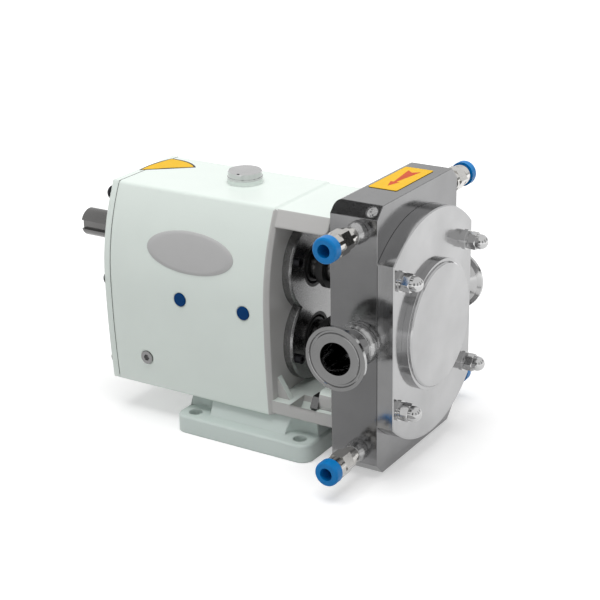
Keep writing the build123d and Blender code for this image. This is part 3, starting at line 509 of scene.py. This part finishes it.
def slab(outline: list[FlatPoint], place: Callable[[float, float, float], Point],
         thickness: float) -> bmesh.types.BMesh:
    """Thin plate of any outline, laid on a surface.

    Args:
        outline: Corners in the plate's own two directions.
        place: Gives the point for two coordinates and a height above the surface.
        thickness: Height of the upper face.

    Returns:
        The closed plate.
    """
    shape = bmesh.new()
    low = [shape.verts.new(place(u, v, 0.0)) for u, v in outline]
    high = [shape.verts.new(place(u, v, thickness)) for u, v in outline]
    shape.faces.new(low)
    shape.faces.new(high)
    for index in range(len(outline)):
        after = (index + 1) % len(outline)
        shape.faces.new((low[index], low[after], high[after], high[index]))
    return shape


def rounded_rectangle(width: float, depth: float, radius: float, steps: int = 5) -> list[FlatPoint]:
    """Draw a rectangle with round corners, centred on 0, 0.

    Args:
        width: Full size along the first direction.
        depth: Full size along the second.
        radius: Radius of the corners.
        steps: Straight pieces of each corner.

    Returns:
        Points round the outline.
    """
    points = []
    for corner, (sx, sy) in enumerate(((1, 1), (-1, 1), (-1, -1), (1, -1))):
        for step in range(steps + 1):
            angle = math.pi / 2 * (corner + step / steps)
            points.append((sx * (width / 2 - radius) + radius * math.cos(angle),
                           sy * (depth / 2 - radius) + radius * math.sin(angle)))
    return points


# ---- sub-assemblies ----------------------------------------------------------------------
@dataclass
class CarriedNodes:
    """The CAD nodes, each dressed in the finish of its material slot."""

    own_finish: dict[str, Steel] = field(default_factory=lambda: {"casing_bolts": BOLT_GREY})

    def dress(self, frame: dict, finishes: dict[str, bpy.types.Material]) -> None:
        """Give every CAD node its finish.

        Args:
            finishes: Materials by slot name.
        """
        slots = {part["node"]: part["material_slot"] for part in frame["record"]["subparts"]}
        for name, node in frame["nodes"].items():
            own = self.own_finish.get(name)
            node.data.materials.clear()
            node.data.materials.append(own.make() if own else finishes[slots[name]])
            LOG.info("%s finished as %s", name, own.name if own else slots[name])


@dataclass
class OvalPlate:
    """Blank oval plate that follows the bowed side of the gearbox."""

    material: bpy.types.Material
    housing: bpy.types.Object
    centre_y: float = 51.0 * MM
    centre_z: float = 153.0 * MM
    half_length: float = 41.5 * MM
    half_height: float = 16.8 * MM
    thickness: float = 0.5 * MM
    spokes: int = 56
    circles: int = 6
    rim: tuple[FlatPoint, ...] = ((1.008, 0.6), (1.01, 0.0))
    probe_x: float = -200.0 * MM

    def surface_x(self, tree: BVHTree, y: float, z: float) -> float:
        """Find the housing's near side at one place.

        Args:
            tree: The housing's faces.
            y: Place along the pump.
            z: Height.

        Returns:
            X of the surface.
        """
        hit = tree.ray_cast(Vector((self.probe_x, y, z)), Vector((1.0, 0.0, 0.0)))[0]
        return hit.x

    def build(self) -> bpy.types.Object:
        """Build the plate from circles of points dropped onto the housing.

        Returns:
            The plate.
        """
        tree = BVHTree.FromObject(self.housing, bpy.context.evaluated_depsgraph_get())
        rings = []
        profile = [(step / self.circles, self.thickness) for step in range(1, self.circles + 1)]
        profile += [(share, self.thickness * height) for share, height in self.rim]
        for share, height in profile:
            ring = []
            for spoke in range(self.spokes):
                angle = 2 * math.pi * spoke / self.spokes
                y = self.centre_y + share * self.half_length * math.cos(angle)
                z = self.centre_z + share * self.half_height * math.sin(angle)
                ring.append((self.surface_x(tree, y, z) - height, y, z))
            rings.append(ring)
        piece = mesh_piece("oval_blank_plate", lathe(rings), self.material)
        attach(piece, "root")
        LOG.info("oval plate on the gearbox's near side")
        return piece


@dataclass
class FlowLabel:
    """Yellow label with a red flow arrow, on top of the casing."""

    yellow: bpy.types.Material
    red: bpy.types.Material
    centre_x: float = 11.0 * MM
    length: float = 61.0 * MM
    width: float = 24.5 * MM
    rearward: float = 5.0 * MM
    corner: float = 1.5 * MM
    thickness: float = 0.2 * MM
    arrow_length: float = 44.0 * MM
    arrow_width: float = 11.0 * MM
    head_share: float = 0.27
    barb_share: float = 0.7
    stem_share: float = 0.2
    notch_share: float = 0.8
    ink: float = 0.05 * MM

    def build(self) -> list[bpy.types.Object]:
        """Lay the label and its arrow on the casing.

        Returns:
            The two pieces.
        """
        low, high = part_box("pump_casing")
        middle_y, top = (low[1] + high[1]) / 2 + self.rearward, high[2] + self.thickness

        def place(u: float, v: float, height: float) -> Point:
            """Point on the casing's top face."""
            return self.centre_x + u, middle_y + v, top + height

        base = slab(rounded_rectangle(self.length, self.width, self.corner), place, self.thickness)
        label = mesh_piece("flow_label", base, self.yellow, smooth=False)
        half, wide = self.arrow_length / 2, self.arrow_width / 2
        neck = -half + self.arrow_length * self.head_share
        barb, stem, notch = wide * self.barb_share, wide * self.stem_share, wide * self.notch_share
        outline = [(-half, 0.0), (neck, -barb), (neck, -stem), (half, -wide),
                   (half - notch, 0.0), (half, wide), (neck, stem), (neck, barb)]

        def place_above(u: float, v: float, height: float) -> Point:
            """Point on the label's own face."""
            return place(u, v, self.thickness + height)

        arrow = mesh_piece("flow_arrow", slab(outline, place_above, self.ink), self.red, smooth=False)
        for piece in (label, arrow):
            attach(piece, "root")
        LOG.info("flow label on the casing")
        return [label, arrow]


@dataclass
class PlainPatch:
    """Plain yellow patch with a dark border, one side straight and the others bulging."""

    yellow: bpy.types.Material
    dark: bpy.types.Material
    corners: tuple[FlatPoint, ...] = ((-9.0 * MM, 134.0 * MM), (20.5 * MM, 97.0 * MM),
                                                (33.0 * MM, 131.0 * MM))
    bulges: tuple[float, ...] = (0.0, 4.5 * MM, 3.0 * MM)
    border: float = 1.3 * MM
    corner_draw: float = 1.6
    thickness: float = 0.15 * MM
    steps: int = 10

    def outline(self, inset: float) -> list[FlatPoint]:
        """Three sides between the corners, each with its own bulge.

        Args:
            inset: How far the outline is drawn in towards the middle.

        Returns:
            Points round the patch.
        """
        middle = Vector((0.0, 0.0))
        for corner in self.corners:
            middle += Vector(corner) / len(self.corners)
        points = []
        for index, bulge in enumerate(self.bulges):
            start = Vector(self.corners[index])
            end = Vector(self.corners[(index + 1) % len(self.corners)])
            outward = ((start + end) / 2 - middle).normalized()
            for step in range(self.steps):
                share = step / self.steps
                point = start.lerp(end, share) + outward * bulge * 4 * share * (1 - share)
                away = point - middle
                points.append(tuple(middle + away * (1 - self.corner_draw * inset / away.length)))
        return points

    def build(self) -> list[bpy.types.Object]:
        """Lay the border and the patch.

        Returns:
            The two pieces.
        """
        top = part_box("rear_cover")[1][2]
        pieces = []
        for name, inset, height, material in (
                ("top_patch_border", 0.0, 0.0, self.dark),
                ("top_patch", self.border, self.thickness, self.yellow)):

            def place(u: float, v: float, rise: float, base: float = height) -> Point:
                """Point on the gearbox's top."""
                return u, v, top + base + rise

            shape = slab(self.outline(inset), place, self.thickness)
            piece = mesh_piece(name, shape, material, smooth=False)
            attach(piece, "root")
            pieces.append(piece)
        LOG.info("plain patch on the gearbox's top")
        return pieces


@dataclass
class JointLine:
    """Thin black ring round a flat joint across Y, painted shade of the joint's gap."""

    material: bpy.types.Material
    cover: bpy.types.Object
    joint_y: float
    centre_z: float
    proud: float = 0.12 * MM
    width: float = 0.4 * MM
    depth: float = 1.0 * MM
    spokes: int = 240
    probe_reach: float = 300.0 * MM
    probe_shift: float = 1.0 * MM

    def build(self) -> bpy.types.Object:
        """Follow the cover's outline with rays, just ahead of its middle, and lay the black ring along it.

        Returns:
            The black ring of painted shade.
        """
        tree = BVHTree.FromObject(self.cover, bpy.context.evaluated_depsgraph_get())
        low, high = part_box(self.cover.name)
        probe_y = (low[1] + high[1]) / 2 - self.probe_shift
        rings = []
        for reach, y in ((-self.depth, -0.5), (self.proud, -0.5), (self.proud, 0.5), (-self.depth, 0.5)):
            ring = []
            for spoke in range(self.spokes):
                angle = 2 * math.pi * spoke / self.spokes
                away = Vector((math.cos(angle), 0.0, math.sin(angle)))
                start = Vector((0.0, probe_y, self.centre_z)) + away * self.probe_reach
                edge = tree.ray_cast(start, -away)[0] + away * reach
                ring.append((edge.x, self.joint_y + y * self.width, edge.z))
            rings.append(ring)
        # The black ring is painted shade in the gap between the cover and its seat.
        piece = mesh_piece(f"{self.cover.name}_joint_shadow_line", lathe(rings, closed=True), self.material,
                           smooth=False)
        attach(piece, "root")
        LOG.info("%s laid", piece.name)
        return piece


@dataclass
class RearJacket:
    """Rear part of the casing's jacket, which carries the block's outline back to the lantern."""

    material: bpy.types.Material
    corner: float = 9.0 * MM
    overlap: float = 9.5 * MM
    side_overlap: float = 1.5 * MM
    rounding: float = 5.0 * MM
    proud: float = 0.015 * MM
    set_back: float = 0.3 * MM
    lip: float = 6.0 * MM
    rear_opening: float = 0.7
    front_opening: float = 0.9
    steps: int = 8

    def section(self, y: float, inset: float, scale: float = 1.0, side_lag: float = 0.0) -> list[Point]:
        """Outline of the block with its cut corners at one Y.

        Args:
            y: Place of the section.
            inset: How far its top and bottom are drawn in by the rear rounding.
            scale: Share of the full size, for the hidden inner edges.
            side_lag: How much further back the section lies at the sides.

        Returns:
            Eight corners.
        """
        low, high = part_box("pump_casing")
        centre_z = (low[2] + high[2]) / 2
        half_x, half_z = high[0] + self.proud, (high[2] - low[2]) / 2 + self.proud
        flat_x, top_z, side_z = half_x - self.corner + inset, half_z - inset, half_z - self.corner
        quarter = [(half_x, y + side_lag, side_z), (flat_x, y, top_z)]
        corners = quarter + [(-x, back, z) for x, back, z in reversed(quarter)]
        corners += [(x, back, -z) for x, back, z in reversed(corners)]
        return [(x * scale, back, centre_z + z * scale) for x, back, z in corners]

    def build(self) -> bpy.types.Object:
        """Build the sleeve from sections along Y.

        Returns:
            The sleeve.
        """
        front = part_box("pump_casing")[1][1] - self.overlap
        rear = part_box("back_plate")[1][1] - self.set_back
        lag = self.overlap - self.side_overlap
        rings = [self.section(front, 0.0, 1.0, lag)]
        for step in range(self.steps + 1):
            angle = math.pi / 2 * step / self.steps
            rings.append(self.section(rear - self.rounding * (1 - math.sin(angle)),
                                      self.rounding * (1 - math.cos(angle))))
        rings += [self.section(rear, 0.0, self.rear_opening),
                  self.section(rear - self.lip, 0.0, self.rear_opening),
                  self.section(front, 0.0, self.front_opening, lag)]
        piece = mesh_piece("casing_rear_jacket", lathe(rings, closed=True), self.material, smooth=False)
        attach(piece, "root")
        LOG.info("rear part of the casing's jacket")
        return piece


@dataclass
class CornerPlugDome:
    """Domed cap of the plug in the casing's cut corner.

    The profile gives shares of the plug's radius, with their rise in millimetres.
    """

    material: bpy.types.Material
    around: int = 40
    profile: tuple[FlatPoint, ...] = ((0.02, 1.75), (0.35, 1.60), (0.62, 1.20), (0.80, 0.70),
                                                (0.86, 0.30), (1.0, 0.30), (1.04, 0.0), (1.0, -0.3))

    def build(self) -> bpy.types.Object:
        """Turn the dome about the plug's own axis, square to the cut corner.

        Returns:
            The dome.
        """
        low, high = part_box("jacket_corner_plug")
        radius = (high[1] - low[1]) / 2
        lean = radius * math.sqrt(0.5)
        centre = Vector((low[0] + lean, (low[1] + high[1]) / 2, high[2] - lean))
        axis, across = Vector((-1.0, 0.0, 1.0)).normalized(), Vector((0.0, 1.0, 0.0))
        upward = axis.cross(across)
        rings = []
        for share, rise in self.profile:
            ring = []
            for step in range(self.around):
                turn = 2 * math.pi * step / self.around
                reach = (across * math.cos(turn) + upward * math.sin(turn)) * radius * share
                ring.append(tuple(centre + reach + axis * rise * MM))
            rings.append(ring)
        piece = mesh_piece("corner_plug_dome", lathe(rings), self.material)
        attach(piece, "root")
        LOG.info("dome on the corner plug")
        return piece


@dataclass(frozen=True)
class WeldSize:
    """Outer radius of a tube, and how high and how far its weld flares."""

    radius: float
    flare: float
    length: float


@dataclass
class WeldBeads:
    """Rippled, flared welds where the port tubes and fitting stems meet the casing."""

    material: bpy.types.Material
    ripple: float = 0.12 * MM
    around: int = 96
    across: int = 14
    hold: float = 0.29
    ripples: int = 22
    twist: float = 5.0
    proud: float = 0.05 * MM
    sunk: float = 0.5 * MM
    port: WeldSize = WeldSize(14.5 * MM, 2.15 * MM, 9.0 * MM)
    stem: WeldSize = WeldSize(7.0 * MM, 1.4 * MM, 11.0 * MM)

    def bead(self, name: str, side: Side, tube: str, size: WeldSize) -> bpy.types.Object:
        """Build one weld.

        Args:
            name: Name of the piece.
            side: Side of the casing.
            tube: Node of the tube.
            size: Size of the tube and of its weld.

        Returns:
            The weld.
        """
        low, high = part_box(tube)
        centre = ((low[1] + high[1]) / 2, (low[2] + high[2]) / 2)
        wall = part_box("pump_casing")[1 if side is Side.FAR else 0][0]
        rings = []
        for step in range(self.around):
            turn = 2 * math.pi * step / self.around
            profile = [(0.0, size.radius - self.sunk)]
            for part in range(self.across + 1):
                share = part / self.across
                fall = (1.0 + math.cos(math.pi * max(0.0, share - self.hold) / (1.0 - self.hold))) / 2
                wave = self.ripple * fall * math.sin(self.ripples * turn + self.twist * share)
                profile.append((size.length * share, size.radius + self.proud + size.flare * fall + wave))
            profile.append((size.length, size.radius - self.sunk))
            rings.append([(wall + side.value * out, centre[0] + reach * math.cos(turn),
                           centre[1] + reach * math.sin(turn)) for out, reach in profile])
        piece = mesh_piece(name, lathe(rings, closed=True), self.material)
        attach(piece, "root")
        LOG.info("%s laid", name)
        return piece

    def build(self) -> None:
        """Lay a weld round every port tube and fitting stem."""
        for side in Side:
            word = side.name.lower()
            self.bead(f"{word}_port_weld", side, f"{word}_port_ferrule", self.port)
            for level in ("upper", "lower"):
                self.bead(f"{word}_{level}_stem_weld", side, f"{word}_{level}_fitting", self.stem)


# ---- studio ------------------------------------------------------------------------------
def seen_by_eye(tree: bpy.types.NodeTree) -> object:
    """Tell camera, glossy and transmission rays from all others.

    Args:
        tree: Node tree of the world or of a material.

    Returns:
        The socket, which is 1 for those rays and 0 for the others.
    """
    path = tree.nodes.new("ShaderNodeLightPath")
    either = path.outputs["Is Camera Ray"]
    for key in ("Is Glossy Ray", "Is Transmission Ray"):
        either = compute(tree, "MAXIMUM", either, path.outputs[key])
    return either


@dataclass(frozen=True)
class Flag:
    """Studio card that only reflections show."""

    name: str
    centre: Point
    width: float
    height: float
    tone: float
    aim: ClassVar[Point] = (0.0, -50.0 * MM, 120.0 * MM)
    lowest_tilted: ClassVar[float] = 50.0 * MM

    def stand(self) -> None:
        """Stand the card at its place, facing the pump; a card on the floor lies flat."""
        sheet = ShaderSheet(self.name)
        sheet.set(Base_Color=(0.0, 0.0, 0.0), Roughness=1.0, Specular_IOR_Level=0.0,
                  Emission_Color=(self.tone, self.tone, self.tone), Emission_Strength=1.0)
        shape = bmesh.new()
        bmesh.ops.create_grid(shape, x_segments=1, y_segments=1, size=0.5)
        card = mesh_piece(self.name, shape, sheet.material)
        card.scale = (self.width, self.height, 1.0)
        card.location = self.centre
        if self.centre[2] > self.lowest_tilted:
            toward = Vector(self.aim) - Vector(self.centre)
            card.rotation_euler = toward.to_track_quat("Z", "Y").to_euler()
        card.visible_camera = card.visible_diffuse = card.visible_shadow = False
        card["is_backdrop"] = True


@dataclass(frozen=True)
class Softbox:
    """Large soft lamp that metal doesn't mirror."""

    name: str
    place: Point
    energy: float
    size: ClassVar[float] = 1.5
    aim: ClassVar[Point] = (0.0, 0.0, 100.0 * MM)

    def hang(self) -> None:
        """Hang the lamp at its place, facing the pump."""
        data = bpy.data.lights.new(self.name, "AREA")
        data.energy, data.size = self.energy, self.size
        lamp = bpy.data.objects.new(self.name, data)
        lamp.location = self.place
        toward = Vector(self.aim) - Vector(self.place)
        lamp.rotation_euler = toward.to_track_quat("-Z", "Y").to_euler()
        lamp.visible_glossy = False
        bpy.context.scene.collection.objects.link(lamp)


@dataclass
class Studio:
    """Pale floor, soft lights, reflected cards and the camera."""

    camera_place: Point = (-993.7 * MM, -638.3 * MM, 556.2 * MM)
    camera_azimuth: float = -57.97
    camera_elevation: float = 20.96
    camera_roll: float = -0.94
    lens: float = 92.66
    floor_size: float = 60.0
    floor_colour: Colour = (0.72, 0.72, 0.72)
    floor_lift: float = 0.40
    floor_gap: float = 0.05 * MM
    shadow_ground: Span = (0.4, 1.4)
    ambient: float = 0.41
    lamps: list[Softbox] = field(default_factory=lambda: [
        Softbox("softbox_0", (-0.15, 0.0, 1.9), 28.0),
        Softbox("softbox_1", (1.3, -1.1, 0.9), 4.0),
        Softbox("softbox_2", (-1.3, -0.5, 0.35), 1.4)])
    flags: list[Flag] = field(default_factory=lambda: [
        Flag("near_floor_card", (-0.34, 0.06, 0.003), 0.50, 0.55, 0.55),
        Flag("rear_left_flag", (-0.42, 0.33, 0.87), 0.28, 0.34, 0.01),
        Flag("overhead_flag", (0.035, 0.34, 1.0), 0.16, 0.34, 0.01),
        Flag("low_left_flag", (-0.735, 0.256, 0.20), 0.16, 0.26, 0.02),
        Flag("far_grey_card", (1.15, 0.55, 0.62), 1.1, 0.8, 0.85),
        Flag("right_strip", (0.74, -0.62, 0.35), 0.24, 0.34, 0.03),
        Flag("front_strip", (0.14, -1.0, 0.42), 0.16, 0.7, 0.03),
        Flag("front_left_strip", (-0.52, -0.86, 0.36), 0.16, 0.6, 0.03),
        Flag("left_strip", (-0.92, -0.24, 0.36), 0.30, 0.6, 0.03)])

    def lay_floor(self) -> None:
        """Lay a wide pale floor under the foot, lifted to white where it is seen.

        The lift grows to full white from the shadow's ground outwards.
        """
        sheet = ShaderSheet("studio_floor")
        sheet.set(Base_Color=self.floor_colour, Roughness=0.9, Specular_IOR_Level=0.05,
                  Emission_Color=(1.0, 1.0, 1.0))
        tree = sheet.tree
        away = tree.nodes.new("ShaderNodeVectorMath")
        away.operation = "LENGTH"
        tree.links.new(sheet.place, away.inputs[0])
        lift = remap(tree, away.outputs["Value"], self.shadow_ground, (self.floor_lift, 1.0))
        seen = compute(tree, "MULTIPLY", seen_by_eye(tree), lift)
        tree.links.new(seen, sheet.shader.inputs["Emission Strength"])
        shape = bmesh.new()
        bmesh.ops.create_grid(shape, x_segments=2, y_segments=2, size=self.floor_size / 2)
        floor = mesh_piece("studio_floor", shape, sheet.material)
        floor.location.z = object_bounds()[0][2] - self.floor_gap
        floor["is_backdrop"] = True

    def light(self) -> None:
        """Light the scene: a plain world that shows white, and soft lamps."""
        world = bpy.data.worlds.new("studio")
        world.use_nodes = True
        bpy.context.scene.world = world
        tree = world.node_tree
        background = tree.nodes["Background"]
        strength = remap(tree, seen_by_eye(tree), (0.0, 1.0), (self.ambient, 1.0))
        tree.links.new(strength, background.inputs["Strength"])
        background.inputs["Color"].default_value = (1.0, 1.0, 1.0, 1.0)
        for lamp in self.lamps:
            lamp.hang()

    def set_camera(self) -> None:
        """Create the camera at its place, turned by azimuth, elevation and roll."""
        azimuth, elevation = math.radians(self.camera_azimuth), math.radians(self.camera_elevation)
        back = Vector((math.sin(azimuth) * math.cos(elevation),
                       -math.cos(azimuth) * math.cos(elevation), math.sin(elevation)))
        right = Vector((0.0, 0.0, 1.0)).cross(back).normalized()
        rise = back.cross(right)
        roll = math.radians(self.camera_roll)
        across = math.cos(roll) * right + math.sin(roll) * rise
        upward = -math.sin(roll) * right + math.cos(roll) * rise
        turned = Matrix((across, upward, back)).transposed().to_4x4()
        data = bpy.data.cameras.new("camera")
        data.lens = self.lens
        camera = bpy.data.objects.new("camera", data)
        camera.matrix_world = Matrix.Translation(self.camera_place) @ turned
        bpy.context.scene.collection.objects.link(camera)
        bpy.context.scene.camera = camera

    def build(self) -> None:
        """Set up floor, cards, lights and camera."""
        self.lay_floor()
        for flag in self.flags:
            flag.stand()
        self.light()
        self.set_camera()
        bpy.context.scene.view_settings.view_transform = "Standard"
        LOG.info("studio set")


def main() -> None:
    """Load the frame, dress it, add the plates, welds and joint lines, and set the studio."""
    logging.basicConfig(level=logging.INFO, format="%(name)s: %(message)s")
    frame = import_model()
    front_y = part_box("front_bearing_cover")[1][1] - GREY_SIDES_OVERLAP
    choices = FINISHES | {"gearbox_paint": replace(FINISHES["gearbox_paint"], front_y=front_y)}
    finishes = {slot: finish.make() for slot, finish in choices.items()}
    trim = {name: finish.make() for name, finish in TRIM.items()}
    nodes = frame["nodes"]
    CarriedNodes().dress(frame, finishes)
    OvalPlate(trim["grey"], nodes["gearbox_housing"]).build()
    FlowLabel(trim["yellow"], trim["red"]).build()
    PlainPatch(trim["yellow"], trim["black"]).build()
    WeldBeads(trim["weld"]).build()
    RearJacket(trim["jacket"]).build()
    CornerPlugDome(trim["weld"]).build()
    # Black rings of painted shade round the two cover joints.
    for cover, seat, centre_z in (("front_cover", "front_cover", 111.0 * MM),
                                  ("rear_cover", "gearbox_housing", 113.0 * MM)):
        JointLine(trim["black"], nodes[cover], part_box(seat)[1][1], centre_z).build()
    Studio().build()


if __name__ == "__main__":
    main()
